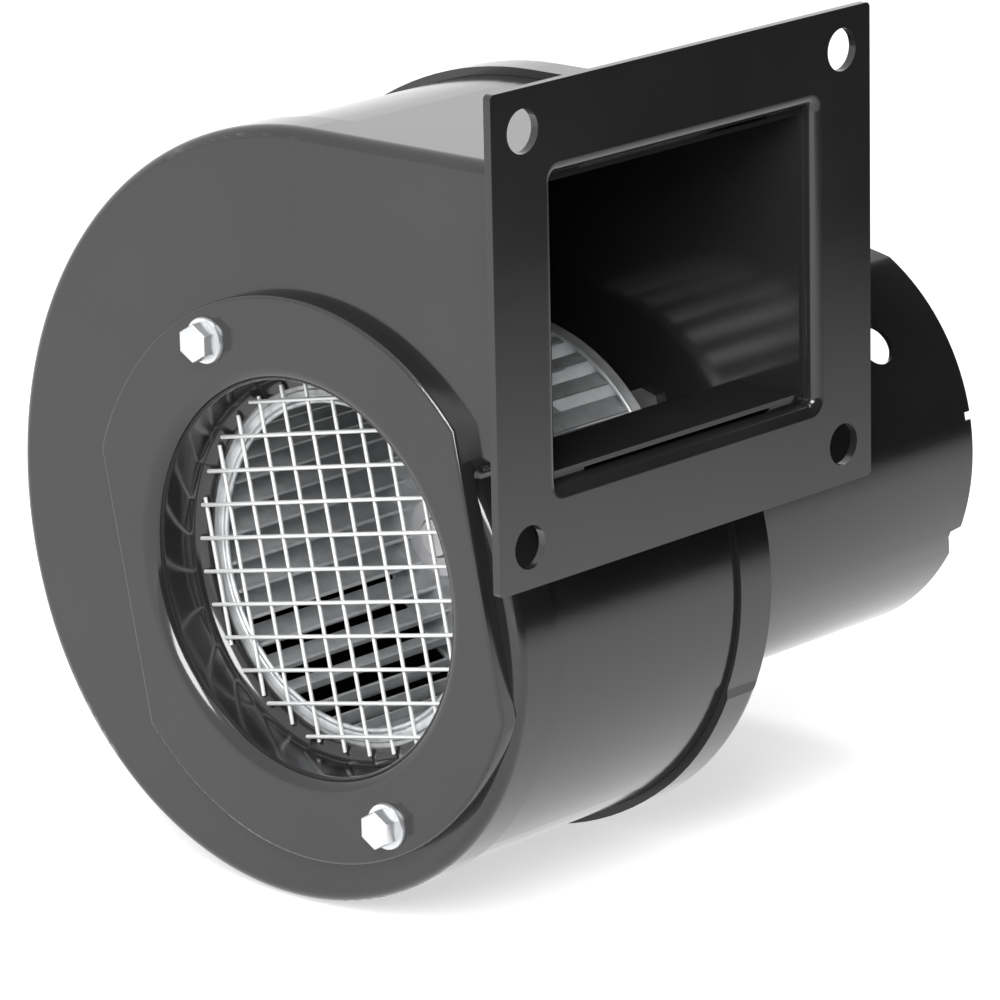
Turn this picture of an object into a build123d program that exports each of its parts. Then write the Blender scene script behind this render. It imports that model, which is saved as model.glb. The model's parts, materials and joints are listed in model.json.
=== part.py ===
"""A small centrifugal blower: pressed-steel scroll, caged wheel and a motor in a round shell.

Millimetres, +Z up. The air leaves toward +X and enters along +Y, the shaft lies along Y.
The origin is the centre of the outlet flange's four holes, on the flange's front face.
"""
import os
from math import asin, cos, degrees, radians, sin, sqrt

from build123d import *

os.makedirs("parts", exist_ok=True)

# Scroll casing: three arcs, each tangent to the next, and a straight duct
scroll_depth = 70.0
casing_sheet = 0.9
nest_gap = 0.05
top_arc_radius = 77.4
first_arc_step = 11.6
second_arc_step = 12.8
scroll_room = 14.9
top_arc_across = 1.5
top_arc_up = 6.4
first_break = 200.0
second_break = 308.7
duct_height = 55.6
tongue_radius = 3.0
front_skirt = 10.0
front_corner = 2.2
rear_skirt = 9.4
rear_corner = 2.6
rear_hem = 1.6

# Outlet flange
flange_from_scroll = 8.9
flange_from_motor = 19.9
flange_side_margin = 15.8
flange_end_margin = 16.65
flange_sheet = 1.6
flange_corner = 1.0
flange_bend = 2.2
collar_length = 12.0
duct_step = 1.0
bolt_from_side = 8.0
bolt_from_end = 7.55
bolt_hole_radius = 3.95

# Inlet plate with its bell, and the mesh at the bell's throat
plate_past_screws = 6.0
plate_flat_cut = 7.1
plate_turn = 11.5
plate_rise = 3.4
plate_sheet = 1.0
plate_edge = 0.7
bell_flare = 5.0
bell_depth = 11.0
bell_knee_along = 0.48
bell_knee_out = 0.46
mesh_pitch = 6.35
mesh_wire = 0.8
mesh_lap = 0.8
mesh_shift_across = -0.7
mesh_shift_up = 0.1

# Screws through the inlet plate and their spring nuts
opening_past_bell = 1.8
screws_past_opening = 5.8
plate_screw_angle = 116.9
screw_radius = 2.0
screw_play = 0.35
screw_length = 11.0
screw_end = 1.0
hex_across_flats = 6.35
hex_height = 3.0
washer_radius = 4.4
washer_sheet = 0.8
nut_height = 2.6
through_nut_height = 2.2
through_nut_across_flats = 5.0
clip_sheet = 0.6
clip_width = 11.0
clip_reach = 4.2
clip_barrel_radius = 3.4
clip_barrel_length = 2.4

# Wheel
wheel_past_throat = 3.5
wheel_to_rear = 11.2
wheel_sheet = 0.8
blade_reach = 7.5
blade_sheet = 0.6
blade_count = 36
blade_lean = 9.0
blade_bow_at = 0.67
blade_bow = 0.28
mesh_to_wheel = 1.4
front_ring_lip = 3.0
dish_past_middle = 2.2
dish_flat_rim = 3.0
dish_rise = 9.0
hub_radius = 7.6
hub_length = 15.0
hub_flange_radius = 11.0
hub_flange_sheet = 1.6
set_screw_from_front = 5.0
set_screw_radius = 2.3
set_screw_slot = 1.0

# Shaft and its two plain bearings
shaft_radius = 3.97
shaft_flat = 0.5
shaft_chamfer = 0.5
shaft_nose = 1.5
fit_gap = 0.03
bearing_radius = 7.4
bearing_length = 13.0
bearing_socket_wall = 1.2
wick_width = 5.0
wick_thickness = 2.4
retainer_sheet = 0.6
thrust_washer_radius = 6.4
thrust_washer_sheet = 1.0
end_play = 0.3

# Motor shell and the bearing brackets
shell_radius = 42.0
shell_sheet = 1.0
shell_length = 71.6
shell_corner = 2.5
bracket_sheet = 1.5
rear_bracket_inset = 3.0
bracket_window_from_socket = 8.35
bracket_window_from_rim = 7.9
bracket_window_arm = 12.0
bracket_window_corner = 2.5
bracket_count = 4
bracket_turn = 36.0
shell_vent_radius = 4.2
shell_vent_from_end = 20.0
shell_vent_count = 8
shell_vent_turn = 36.0
mount_screw_from_bolts = 7.6
mount_screw_count = 4
mount_screw_turn = 45.0
through_bolt_from_bore = 3.3
through_bolt_radius = 1.6
grommet_angle = 215.0
grommet_radius = 5.0
grommet_hole_radius = 3.0
grommet_from_end = 12.0

# Stator, coils and rotor
stack_from_bracket = 14.0
fan_to_stack = 7.0
pole_count = 4
pole_neck_width = 14.0
pole_slot = 7.0
pole_face_depth = 4.0
yoke_depth = 7.0
winding_room = 12.9
air_gap = 0.5
coil_thickness = 5.0
coil_gap = 0.3
bar_ring_depth = 4.0
bar_ring_under_middle = 0.985
fan_to_bolts = 7.0
fan_blade_count = 6
fan_hub_radius = 8.0
fan_depth = 5.0
fan_sheet = 1.2
seat_gap = 0.1

# Sizes and places worked out from the ones above
bottom_arc_radius = top_arc_radius - first_arc_step
right_arc_radius = bottom_arc_radius - second_arc_step
wheel_radius = right_arc_radius - scroll_room
wheel_eye = wheel_radius - blade_reach
throat_radius = wheel_radius - wheel_past_throat
bell_mouth_radius = throat_radius + bell_flare
front_opening_radius = bell_mouth_radius + opening_past_bell
plate_screw_circle = front_opening_radius + screws_past_opening
plate_radius = plate_screw_circle + plate_past_screws
plate_flat = plate_radius - plate_flat_cut
mesh_radius = throat_radius + mesh_lap
shaft_to_outlet = max(right_arc_radius + flange_from_scroll, shell_radius + flange_from_motor)
flange_width = scroll_depth + 2 * flange_side_margin
flange_height = duct_height + 2 * flange_end_margin
bolt_across = flange_width - 2 * bolt_from_side
bolt_up = flange_height - 2 * bolt_from_end
duct_top = top_arc_up + top_arc_radius
duct_floor = duct_top - duct_height
outlet_rise = (duct_top + duct_floor) / 2
axis_x = -shaft_to_outlet
axis_z = -outlet_rise
front_y = -scroll_depth / 2
duct_end = shaft_to_outlet - flange_bend - duct_step
wrap_inset = casing_sheet + nest_gap
mesh_start = bell_depth - plate_rise
wheel_start = mesh_start + mesh_wire + mesh_to_wheel
wheel_end = scroll_depth - wheel_to_rear
wheel_width = wheel_end - wheel_start
shell_end = scroll_depth + shell_length
shell_bore = shell_radius - shell_sheet
inside_radius = shell_bore - seat_gap
through_bolt_circle = inside_radius - through_bolt_from_bore
mount_screw_circle = through_bolt_circle - mount_screw_from_bolts
shaft_line = Axis((axis_x, 0, axis_z), (0, 1, 0))

arc_centres = [(top_arc_across, top_arc_up)]
for radius_before, radius_after, angle in (
    (top_arc_radius, bottom_arc_radius, first_break),
    (bottom_arc_radius, right_arc_radius, second_break),
):
    step = radius_before - radius_after
    across, up = arc_centres[-1]
    arc_centres.append((across + step * cos(radians(angle)), up + step * sin(radians(angle))))


def face_plane(depth):
    """A plane square to the shaft, seen from the front, at a depth behind the front plate."""
    return Plane(origin=(axis_x, front_y + depth, axis_z), x_dir=(1, 0, 0), z_dir=(0, -1, 0))


def profile_plane():
    """A plane through the shaft: across is depth behind the front plate, up is radius."""
    return Plane(origin=(axis_x, front_y, axis_z), x_dir=(0, 1, 0), z_dir=(1, 0, 0))


def around(radius, angle):
    """A point on a circle about the shaft."""
    return (radius * cos(radians(angle)), radius * sin(radians(angle)))


def scroll_face(inset, end):
    """The scroll's outline moved inward by inset, with its duct reaching to end."""
    top_radius = top_arc_radius - inset
    low_radius = bottom_arc_radius - inset
    side_radius = right_arc_radius - inset
    floor = duct_floor + inset
    last_angle = degrees(asin((floor - arc_centres[2][1]) / side_radius))
    with BuildSketch() as outline:
        with BuildLine():
            Line((end, duct_top - inset), (top_arc_across, duct_top - inset))
            CenterArc(arc_centres[0], top_radius, 90, first_break - 90)
            CenterArc(arc_centres[1], low_radius, first_break, second_break - first_break)
            last = CenterArc(arc_centres[2], side_radius, second_break, 360 + last_angle - second_break)
            Line(last @ 1, (end, floor))
            Line((end, floor), (end, duct_top - inset))
        make_face()
        tongue = outline.vertices().sort_by_distance(last @ 1)[0]
        fillet(tongue, tongue_radius + inset)
    return outline.sketch


def save(piece, name):
    """Label a finished piece and write it to its own file."""
    piece.label = name
    export_step(piece, f"parts/{name}.step")


# Front plate of the scroll: a shallow pan, open at the duct's end
past_end = shaft_to_outlet
collar_start = shaft_to_outlet - flange_sheet - collar_length - screw_play
with BuildPart() as scroll_front_plate:
    with BuildSketch(face_plane(0)):
        add(scroll_face(0, duct_end))
    extrude(amount=-front_skirt)
    front_rim = scroll_front_plate.faces().sort_by(Axis.Y)[0].edges()
    duct_edge = front_rim.sort_by(Axis.X)[-1]
    fillet([edge for edge in front_rim if edge != duct_edge], front_corner)
    with BuildSketch(face_plane(casing_sheet)):
        add(scroll_face(casing_sheet, past_end))
    extrude(amount=-front_skirt, mode=Mode.SUBTRACT)
    with BuildSketch(face_plane(0)):
        Circle(front_opening_radius)
        with PolarLocations(plate_screw_circle, 2, plate_screw_angle):
            Circle(screw_radius + screw_play)
    extrude(amount=-casing_sheet, mode=Mode.SUBTRACT)
save(scroll_front_plate.part, "scroll_front_plate")

# Wrap of the scroll: one strip bent round the three arcs and out along the duct's floor
with BuildPart() as scroll_wrap:
    with BuildSketch(face_plane(casing_sheet + nest_gap)):
        add(scroll_face(wrap_inset, duct_end))
        add(scroll_face(wrap_inset + casing_sheet, past_end), mode=Mode.SUBTRACT)
    extrude(amount=-(scroll_depth - 2 * (casing_sheet + nest_gap)))
save(scroll_wrap.part, "scroll_wrap")

# Rear plate of the scroll: a pan whose hemmed rim stands proud of the wrap
rear_face = scroll_depth - casing_sheet
rim_proud = rear_hem + nest_gap - wrap_inset
with BuildPart() as scroll_rear_plate:
    with BuildSketch(face_plane(scroll_depth)):
        add(scroll_face(-rim_proud, duct_end))
    extrude(amount=rear_skirt)
    rear_rim = scroll_rear_plate.faces().sort_by(Axis.Y)[-1].edges()
    duct_edge = rear_rim.sort_by(Axis.X)[-1]
    fillet([edge for edge in rear_rim if edge != duct_edge], rear_corner)
    with BuildSketch(face_plane(rear_face)):
        add(scroll_face(wrap_inset - nest_gap, past_end))
    extrude(amount=rear_skirt, mode=Mode.SUBTRACT)
    with BuildSketch(face_plane(rear_face)):
        Circle(bearing_radius + bearing_socket_wall + 2 * screw_play + nest_gap)
        with PolarLocations(mount_screw_circle, mount_screw_count, mount_screw_turn):
            Circle(screw_radius + screw_play)
    extrude(amount=-casing_sheet, mode=Mode.SUBTRACT)
    with BuildSketch(face_plane(scroll_depth)):
        with Locations((past_end, outlet_rise)):
            Rectangle(past_end - collar_start, 2 * flange_height, align=(Align.MAX, Align.CENTER))
        add(scroll_face(0, past_end), mode=Mode.SUBTRACT)
    extrude(amount=rear_skirt, mode=Mode.SUBTRACT)
save(scroll_rear_plate.part, "scroll_rear_plate")

# Outlet flange: a plate whose middle is drawn back as a collar over the duct's end
collar_bore_width = scroll_depth + 2 * nest_gap
collar_bore_height = duct_height + 2 * nest_gap
collar_corner = rear_corner - 2 * rim_proud
collar_width = collar_bore_width + 2 * flange_sheet
collar_height = collar_bore_height + 2 * flange_sheet
flange_plane = Plane(origin=(0, 0, 0), x_dir=(0, 1, 0), z_dir=(1, 0, 0))
with BuildPart() as outlet_flange:
    with BuildSketch(flange_plane):
        RectangleRounded(flange_width, flange_height, flange_corner)
        with GridLocations(bolt_across, bolt_up, 2, 2):
            Circle(bolt_hole_radius, mode=Mode.SUBTRACT)
    extrude(amount=-flange_sheet)
    with BuildSketch(flange_plane):
        RectangleRounded(collar_width, collar_height, collar_corner + flange_sheet)
    extrude(amount=-(flange_sheet + collar_length))
    with BuildSketch(flange_plane):
        RectangleRounded(collar_bore_width, collar_bore_height, collar_corner)
    extrude(amount=-(flange_sheet + collar_length), mode=Mode.SUBTRACT)
    front = outlet_flange.faces().sort_by(Axis.X)[-1]
    opening = front.inner_wires().sort_by(SortBy.LENGTH)[-1]
    fillet(opening.edges(), flange_bend)
    back = outlet_flange.faces().filter_by(Axis.X).sort_by(Axis.X)[1]
    collar_foot = back.inner_wires().sort_by(SortBy.LENGTH)[-1]
    fillet(collar_foot.edges(), flange_bend - flange_sheet)
save(outlet_flange.part, "outlet_flange")


def plate_outline(inset):
    """The inlet plate's outline: a circle with two flats, moved inward by inset."""
    with BuildSketch() as outline:
        Circle(plate_radius - inset)
        Rectangle(2 * (plate_flat - inset), 2 * plate_radius, rotation=plate_turn, mode=Mode.INTERSECT)
    return outline.sketch


# Inlet plate: a shallow pan with the bell drawn back through the scroll's front opening
bell_rim_radius = bell_mouth_radius + plate_sheet + plate_edge
bell_middle = bell_depth * bell_knee_along
bell_middle_radius = throat_radius + (bell_mouth_radius - throat_radius) * bell_knee_out
bell_back = plate_sheet - plate_rise
with BuildPart() as inlet_plate:
    with BuildSketch(face_plane(-plate_rise)):
        add(plate_outline(0))
    extrude(amount=-plate_rise)
    fillet(inlet_plate.faces().sort_by(Axis.Y)[0].edges(), plate_edge)
    with BuildSketch(face_plane(plate_sheet - plate_rise)):
        add(plate_outline(plate_sheet))
    extrude(amount=-plate_rise, mode=Mode.SUBTRACT)
    with BuildSketch(face_plane(-plate_rise)):
        Circle(bell_rim_radius)
        with PolarLocations(plate_screw_circle, 2, plate_screw_angle):
            Circle(screw_radius + screw_play)
    extrude(amount=-plate_sheet, mode=Mode.SUBTRACT)
    with BuildSketch(profile_plane()):
        with BuildLine():
            Line((-plate_rise, bell_rim_radius), (-plate_rise, bell_mouth_radius))
            ThreePointArc(
                (-plate_rise, bell_mouth_radius),
                (bell_middle - plate_rise, bell_middle_radius),
                (mesh_start, throat_radius),
            )
            Line((mesh_start, throat_radius), (mesh_start, throat_radius + plate_sheet))
            ThreePointArc(
                (mesh_start, throat_radius + plate_sheet),
                (bell_middle - plate_rise + plate_sheet / 2, bell_middle_radius + plate_sheet),
                (bell_back, bell_mouth_radius + plate_sheet / 2),
            )
            Line((bell_back, bell_mouth_radius + plate_sheet / 2), (bell_back, bell_rim_radius))
            Line((bell_back, bell_rim_radius), (-plate_rise, bell_rim_radius))
        make_face()
    revolve(axis=shaft_line)
    mouth_top = (axis_x, front_y - plate_rise, axis_z + bell_mouth_radius)
    circles = inlet_plate.edges().filter_by(GeomType.CIRCLE)
    fillet(circles.sort_by_distance(mouth_top)[0], plate_edge)
save(inlet_plate.part, "inlet_plate")

# Mesh guard: welded wires cut to a disc, seated on the end of the bell
mesh_count = 2 * int(mesh_radius / mesh_pitch) + 3
with BuildPart() as mesh_guard:
    with BuildSketch(face_plane(mesh_start)):
        with Locations(Location((0, 0, 0), (0, 0, plate_turn))):
            with Locations((mesh_shift_across, mesh_shift_up)):
                with GridLocations(mesh_pitch, mesh_pitch, mesh_count, 1):
                    Rectangle(mesh_wire, 3 * mesh_radius)
                with GridLocations(mesh_pitch, mesh_pitch, 1, mesh_count):
                    Rectangle(3 * mesh_radius, mesh_wire)
        Circle(mesh_radius, mode=Mode.INTERSECT)
    extrude(amount=-mesh_wire)
save(mesh_guard.part, "mesh_guard")

# Two hex screws with washer heads hold the inlet plate
with BuildPart() as inlet_screws:
    with BuildSketch(face_plane(-plate_rise)):
        with PolarLocations(plate_screw_circle, 2, plate_screw_angle):
            Circle(washer_radius)
    extrude(amount=washer_sheet)
    with BuildSketch(face_plane(-plate_rise - washer_sheet)):
        with PolarLocations(plate_screw_circle, 2, plate_screw_angle):
            RegularPolygon(hex_across_flats / 2, 6, major_radius=False)
    extrude(amount=hex_height)
    with BuildSketch(face_plane(-plate_rise)):
        with PolarLocations(plate_screw_circle, 2, plate_screw_angle):
            Circle(screw_radius)
    extrude(amount=-screw_length)
save(inlet_screws.part, "inlet_screws")

# Spring nuts pushed over the edge of the front opening, one behind each screw
opening_edge = sqrt(front_opening_radius ** 2 - (clip_width / 2) ** 2)
clip_back = plate_screw_circle - opening_edge + nest_gap
clip_leaf = clip_back + clip_sheet + clip_reach
with BuildPart() as clip_nuts:
    for leaf_depth in (-clip_sheet - nest_gap, casing_sheet + nest_gap):
        with BuildSketch(face_plane(leaf_depth)):
            with PolarLocations(plate_screw_circle, 2, plate_screw_angle):
                with Locations((clip_reach, 0)):
                    Rectangle(clip_leaf, clip_width, align=(Align.MAX, Align.CENTER))
        extrude(amount=-clip_sheet)
    with BuildSketch(face_plane(-clip_sheet - nest_gap)):
        with PolarLocations(plate_screw_circle, 2, plate_screw_angle):
            with Locations((-clip_back, 0)):
                Rectangle(clip_sheet, clip_width, align=(Align.MAX, Align.CENTER))
    extrude(amount=-(casing_sheet + 2 * (clip_sheet + nest_gap)))
    with BuildSketch(face_plane(casing_sheet + nest_gap + clip_sheet)):
        with PolarLocations(plate_screw_circle, 2, plate_screw_angle):
            Circle(clip_barrel_radius)
    extrude(amount=-clip_barrel_length)
    with BuildSketch(face_plane(-clip_sheet - nest_gap)):
        with PolarLocations(plate_screw_circle, 2, plate_screw_angle):
            Circle(screw_radius + fit_gap)
    extrude(amount=-screw_length, mode=Mode.SUBTRACT)
save(clip_nuts.part, "clip_nuts")


def blade_section():
    """One forward-curved blade: it leaves the eye along a radius and leans into the turn."""
    eye = wheel_eye + blade_sheet / 2
    tip = wheel_radius - wheel_sheet - nest_gap - blade_sheet / 2
    bow = eye + (tip - eye) * blade_bow_at
    with BuildSketch() as section:
        with BuildLine():
            ThreePointArc(around(eye, 0), around(bow, -blade_lean * blade_bow), around(tip, -blade_lean))
        trace(line_width=blade_sheet)
    return section.sketch


# Wheel: blades between a lipped front ring and a dished back plate
disc_front = wheel_end - wheel_sheet
dish_face = disc_front - dish_rise
dish_radius = (wheel_eye + hub_flange_radius) / 2 + dish_past_middle
dish_flat_radius = hub_flange_radius + dish_flat_rim
with BuildPart() as wheel_blades:
    with BuildSketch(face_plane(wheel_start + wheel_sheet)):
        with PolarLocations(0, blade_count):
            add(blade_section())
    extrude(amount=-(wheel_width - 2 * wheel_sheet))
save(wheel_blades.part, "wheel_blades")

with BuildPart() as wheel_front_ring:
    with BuildSketch(profile_plane()):
        with BuildLine():
            Polyline(
                (wheel_start, wheel_eye),
                (wheel_start, wheel_radius),
                (wheel_start + front_ring_lip, wheel_radius),
                (wheel_start + front_ring_lip, wheel_radius - wheel_sheet),
                (wheel_start + wheel_sheet, wheel_radius - wheel_sheet),
                (wheel_start + wheel_sheet, wheel_eye),
                close=True,
            )
        make_face()
    revolve(axis=shaft_line)
save(wheel_front_ring.part, "wheel_front_ring")

with BuildPart() as wheel_back_plate:
    with BuildSketch(profile_plane()):
        with BuildLine():
            Polyline(
                (disc_front, wheel_radius),
                (disc_front, dish_radius),
                (dish_face, dish_flat_radius),
                (dish_face, hub_radius + nest_gap),
                (dish_face + wheel_sheet, hub_radius + nest_gap),
                (dish_face + wheel_sheet, dish_flat_radius),
                (wheel_end, dish_radius),
                (wheel_end, wheel_radius),
                close=True,
            )
        make_face()
    revolve(axis=shaft_line)
save(wheel_back_plate.part, "wheel_back_plate")

# Hub riveted in the wheel's dish, and the screw that locks it on the shaft
hub_back = dish_face + wheel_sheet
hub_front = hub_back - hub_length
set_screw_depth = hub_front + set_screw_from_front
set_screw_plane = Plane(origin=(axis_x, front_y + set_screw_depth, axis_z), x_dir=(1, 0, 0), z_dir=(0, 0, 1))
with BuildPart() as wheel_hub:
    with BuildSketch(face_plane(hub_front)):
        Circle(hub_radius)
    extrude(amount=-hub_length)
    with BuildSketch(face_plane(hub_back)):
        Circle(hub_flange_radius)
    extrude(amount=-hub_flange_sheet)
    with BuildSketch(face_plane(hub_front)):
        Circle(shaft_radius + fit_gap)
    extrude(amount=-(hub_length + hub_flange_sheet), mode=Mode.SUBTRACT)
    with BuildSketch(set_screw_plane):
        Circle(set_screw_radius + fit_gap)
    extrude(amount=hub_radius, mode=Mode.SUBTRACT)
save(wheel_hub.part, "wheel_hub")

shaft_flat_height = shaft_radius - shaft_flat
with BuildPart() as wheel_set_screw:
    with BuildSketch(set_screw_plane.offset(shaft_flat_height + fit_gap)):
        Circle(set_screw_radius)
    extrude(amount=hub_radius - shaft_flat_height)
    with BuildSketch(set_screw_plane.offset(hub_radius + fit_gap)):
        Rectangle(3 * set_screw_radius, set_screw_slot)
    extrude(amount=-set_screw_slot, mode=Mode.SUBTRACT)
save(wheel_set_screw.part, "wheel_set_screw")

# Where the bearings, brackets and stator lie behind the scroll
front_bracket_start = scroll_depth + shell_sheet
front_bracket_end = front_bracket_start + bracket_sheet
front_bearing_start = front_bracket_start - bearing_length / 2
front_bearing_end = front_bearing_start + bearing_length
rear_bracket_end = shell_end - rear_bracket_inset
rear_bracket_start = rear_bracket_end - bracket_sheet
rear_bearing_end = shell_end - bearing_socket_wall - end_play
rear_bearing_start = rear_bearing_end - bearing_length
rear_thrust_start = rear_bearing_start - end_play - thrust_washer_sheet
fan_end = rear_thrust_start - end_play
fan_start = fan_end - fan_depth
stack_start = front_bracket_end + stack_from_bracket
stack_end = fan_start - fan_to_stack
stack_length = stack_end - stack_start
socket_radius = bearing_radius + nest_gap + bearing_socket_wall

# Shaft: flat under the set screw, chamfered ends
shaft_start = hub_front - shaft_nose
shaft_end = rear_bearing_end - end_play
with BuildPart() as motor_shaft:
    with BuildSketch(face_plane(shaft_start)):
        Circle(shaft_radius)
    extrude(amount=-(shaft_end - shaft_start))
    chamfer(motor_shaft.edges().filter_by(GeomType.CIRCLE), shaft_chamfer)
    with BuildSketch(face_plane(shaft_start)):
        with Locations((0, shaft_flat_height)):
            Rectangle(2 * shaft_radius, shaft_radius, align=(Align.CENTER, Align.MIN))
    extrude(amount=-(hub_length + shaft_chamfer), mode=Mode.SUBTRACT)
save(motor_shaft.part, "motor_shaft")

# Bearings: bronze sleeves, each with its felt wick and spring retainer
rear_wick_start = rear_bracket_start - wick_thickness
for name, start, wick_start, retainer_start in (
    ("front", front_bearing_start, front_bracket_end, front_bracket_end + wick_thickness),
    ("rear", rear_bearing_start, rear_wick_start, rear_wick_start - retainer_sheet),
):
    with BuildPart() as bearing:
        with BuildSketch(face_plane(start)):
            Circle(bearing_radius)
            Circle(shaft_radius + fit_gap, mode=Mode.SUBTRACT)
        extrude(amount=-bearing_length)
    save(bearing.part, f"{name}_bearing")
    with BuildPart() as oil_wick:
        with BuildSketch(face_plane(wick_start)):
            Circle(bearing_radius + nest_gap + wick_width)
            Circle(bearing_radius + nest_gap, mode=Mode.SUBTRACT)
        extrude(amount=-wick_thickness)
    save(oil_wick.part, f"{name}_oil_wick")
    with BuildPart() as bearing_retainer:
        with BuildSketch(face_plane(retainer_start)):
            Circle(bearing_radius + nest_gap + wick_width)
            Circle(bearing_radius + nest_gap, mode=Mode.SUBTRACT)
        extrude(amount=-retainer_sheet)
    save(bearing_retainer.part, f"{name}_bearing_retainer")

# Thrust washers run against the inner ends of the two bearings
front_thrust_start = front_bearing_end + end_play
with BuildPart() as thrust_washers:
    for depth in (front_thrust_start, rear_thrust_start):
        with BuildSketch(face_plane(depth)):
            Circle(thrust_washer_radius)
            Circle(shaft_radius + fit_gap, mode=Mode.SUBTRACT)
        extrude(amount=-thrust_washer_sheet)
save(thrust_washers.part, "thrust_washers")

# Motor shell: a drawn cup screwed to the scroll, vented round its far end
bolt_turn = bracket_turn + 180 / bracket_count
with BuildPart() as motor_shell:
    with BuildSketch(face_plane(scroll_depth)):
        Circle(shell_radius)
    extrude(amount=-shell_length)
    fillet(motor_shell.faces().sort_by(Axis.Y)[0].edges(), shell_corner)
    with BuildSketch(face_plane(scroll_depth + shell_sheet)):
        Circle(shell_bore)
    extrude(amount=-shell_length, mode=Mode.SUBTRACT)
    with BuildSketch(face_plane(scroll_depth)):
        Circle(socket_radius + screw_play)
        with PolarLocations(mount_screw_circle, mount_screw_count, mount_screw_turn):
            Circle(screw_radius + screw_play)
    extrude(amount=-shell_sheet, mode=Mode.SUBTRACT)
    for index in range(shell_vent_count):
        angle = radians(shell_vent_turn + 360 * index / shell_vent_count)
        outward = (cos(angle), 0, sin(angle))
        vent_plane = Plane(
            origin=(axis_x, front_y + shell_end - shell_vent_from_end, axis_z), x_dir=(0, 1, 0), z_dir=outward
        )
        with BuildSketch(vent_plane.offset(shell_radius - 2 * shell_sheet)):
            Circle(shell_vent_radius)
        extrude(amount=3 * shell_sheet, mode=Mode.SUBTRACT)
    grommet_way = (cos(radians(grommet_angle)), 0, sin(radians(grommet_angle)))
    grommet_plane = Plane(
        origin=(axis_x, front_y + shell_end - grommet_from_end, axis_z), x_dir=(0, 1, 0), z_dir=grommet_way
    )
    with BuildSketch(grommet_plane.offset(shell_radius - 2 * shell_sheet)):
        Circle(grommet_radius - shell_sheet)
    extrude(amount=3 * shell_sheet, mode=Mode.SUBTRACT)
save(motor_shell.part, "motor_shell")

# Rubber grommet where the leads leave the shell
with BuildPart() as lead_grommet:
    with BuildSketch(grommet_plane.offset(shell_bore - seat_gap)):
        Circle(grommet_radius - shell_sheet - nest_gap)
    extrude(amount=2 * seat_gap + 2 * shell_sheet)
    with BuildSketch(grommet_plane.offset(shell_radius + seat_gap)):
        Circle(grommet_radius)
    extrude(amount=shell_sheet)
    with BuildSketch(grommet_plane.offset(shell_bore - 2 * shell_sheet)):
        Circle(grommet_hole_radius)
    extrude(amount=6 * shell_sheet, mode=Mode.SUBTRACT)
save(lead_grommet.part, "lead_grommet")

# Bearing brackets: the front one is plain, the rear one is cut away in windows
bracket_window_inner = socket_radius + bracket_window_from_socket
bracket_window_outer = inside_radius - bracket_window_from_rim
with BuildPart() as front_bearing_bracket:
    with BuildSketch(face_plane(front_bracket_start)):
        Circle(inside_radius)
    extrude(amount=-bracket_sheet)
    with BuildSketch(face_plane(front_bearing_start - bearing_socket_wall)):
        Circle(socket_radius)
    extrude(amount=-(front_bracket_end - front_bearing_start + bearing_socket_wall))
    with BuildSketch(face_plane(front_bearing_start)):
        Circle(bearing_radius + nest_gap)
    extrude(amount=-bearing_length, mode=Mode.SUBTRACT)
    with BuildSketch(face_plane(front_bearing_start - bearing_socket_wall)):
        Circle(shaft_radius + end_play)
    extrude(amount=-bearing_length, mode=Mode.SUBTRACT)
    with BuildSketch(face_plane(front_bracket_start)):
        with PolarLocations(mount_screw_circle, mount_screw_count, mount_screw_turn):
            Circle(screw_radius + screw_play)
        with PolarLocations(through_bolt_circle, bracket_count, bolt_turn):
            Circle(through_bolt_radius + screw_play)
    extrude(amount=-bracket_sheet, mode=Mode.SUBTRACT)
save(front_bearing_bracket.part, "front_bearing_bracket")

with BuildPart() as rear_bearing_bracket:
    with BuildSketch(face_plane(rear_bracket_start)):
        Circle(inside_radius)
    extrude(amount=-bracket_sheet)
    with BuildSketch(face_plane(rear_bracket_start)):
        Circle(socket_radius)
    extrude(amount=-(rear_bearing_end + bearing_socket_wall - rear_bracket_start))
    with BuildSketch(face_plane(rear_bracket_start)):
        Circle(bearing_radius + nest_gap)
    extrude(amount=-(rear_bearing_end - rear_bracket_start), mode=Mode.SUBTRACT)
    with BuildSketch(face_plane(rear_bracket_start)) as windows:
        Circle(bracket_window_outer)
        Circle(bracket_window_inner, mode=Mode.SUBTRACT)
        with PolarLocations(0, bracket_count, bolt_turn):
            Rectangle(shell_radius, bracket_window_arm, align=(Align.MIN, Align.CENTER), mode=Mode.SUBTRACT)
        fillet(windows.vertices(), bracket_window_corner)
    extrude(amount=-bracket_sheet, mode=Mode.SUBTRACT)
    with BuildSketch(face_plane(rear_bracket_start)):
        with PolarLocations(through_bolt_circle, bracket_count, bolt_turn):
            Circle(through_bolt_radius + screw_play)
    extrude(amount=-bracket_sheet, mode=Mode.SUBTRACT)
save(rear_bearing_bracket.part, "rear_bearing_bracket")


def hex_fastener(circle, count, turn, shank, head_depth, head_height, head_way, shank_length, across_flats):
    """A ring of hex-headed screws: heads at one depth, shanks running the other way."""
    with BuildPart() as fasteners:
        with BuildSketch(face_plane(head_depth)):
            with PolarLocations(circle, count, turn):
                RegularPolygon(across_flats / 2, 6, major_radius=False)
        extrude(amount=head_way * head_height)
        with BuildSketch(face_plane(head_depth)):
            with PolarLocations(circle, count, turn):
                Circle(shank)
        extrude(amount=-head_way * shank_length)
    return fasteners.part


def hex_nuts(circle, count, turn, bore, depth, height, across_flats):
    """A ring of hex nuts."""
    with BuildPart() as nuts:
        with BuildSketch(face_plane(depth)):
            with PolarLocations(circle, count, turn):
                RegularPolygon(across_flats / 2, 6, major_radius=False)
                Circle(bore, mode=Mode.SUBTRACT)
        extrude(amount=-height)
    return nuts.part


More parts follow.
